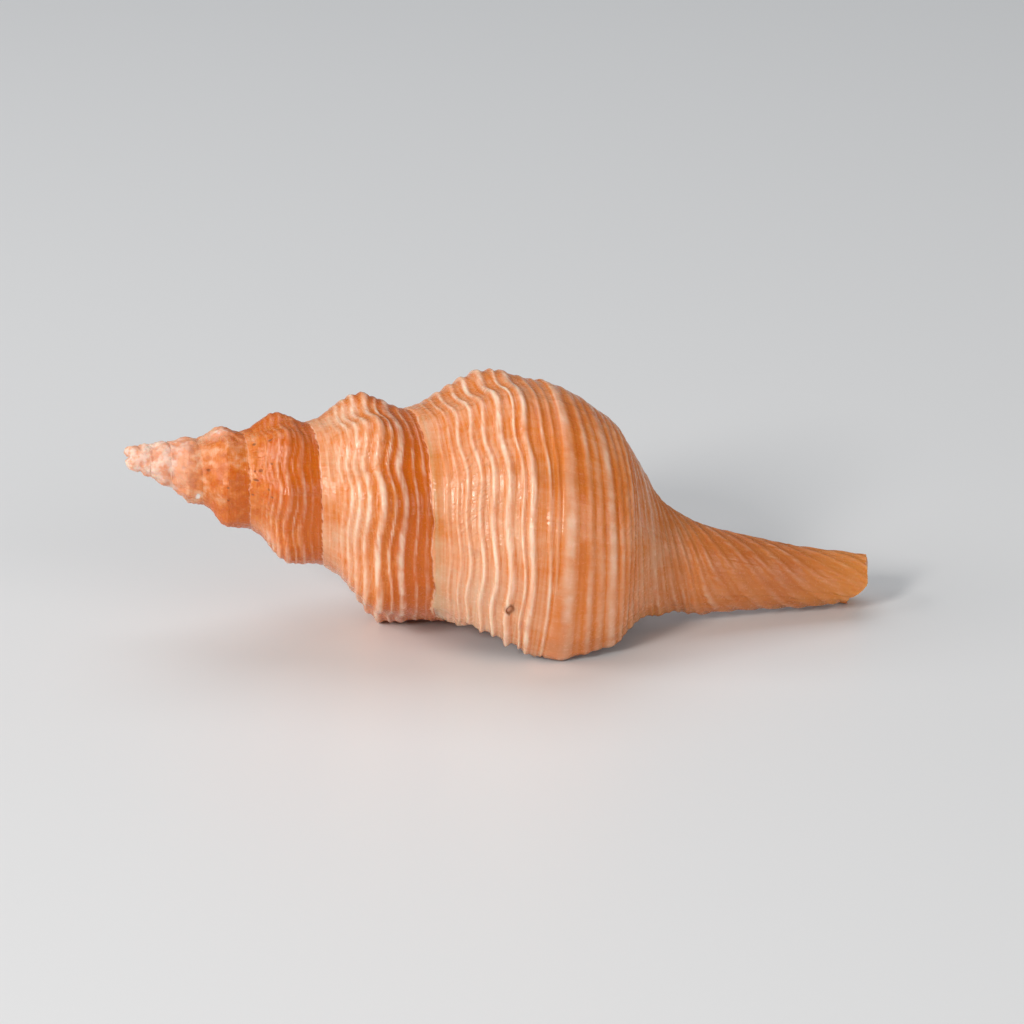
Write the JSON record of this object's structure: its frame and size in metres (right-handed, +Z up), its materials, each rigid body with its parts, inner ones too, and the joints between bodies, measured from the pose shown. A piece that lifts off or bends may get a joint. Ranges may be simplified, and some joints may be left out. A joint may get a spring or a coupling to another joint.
{
  "type": "horse conch shell",
  "caption": "Spindle-shaped right-coiled sea shell with a tall ribbed spire, spiral cords, an open mouth and a long open siphonal canal.",
  "frame": {"origin": "centre of the bounding box in plan, at the level of the surface that the shell lies on", "axes": "+X from the spire towards the siphonal canal, +Z up from the surface, -Y towards the lip's edge"},
  "size_m": [0.0836, 0.031, 0.0286],
  "materials": {
    "shell_wall": "satin, orange with pale spiral cords"
  },
  "bodies": {
    "root": {"shell": "shell_wall"}
  },
  "joints": []
}
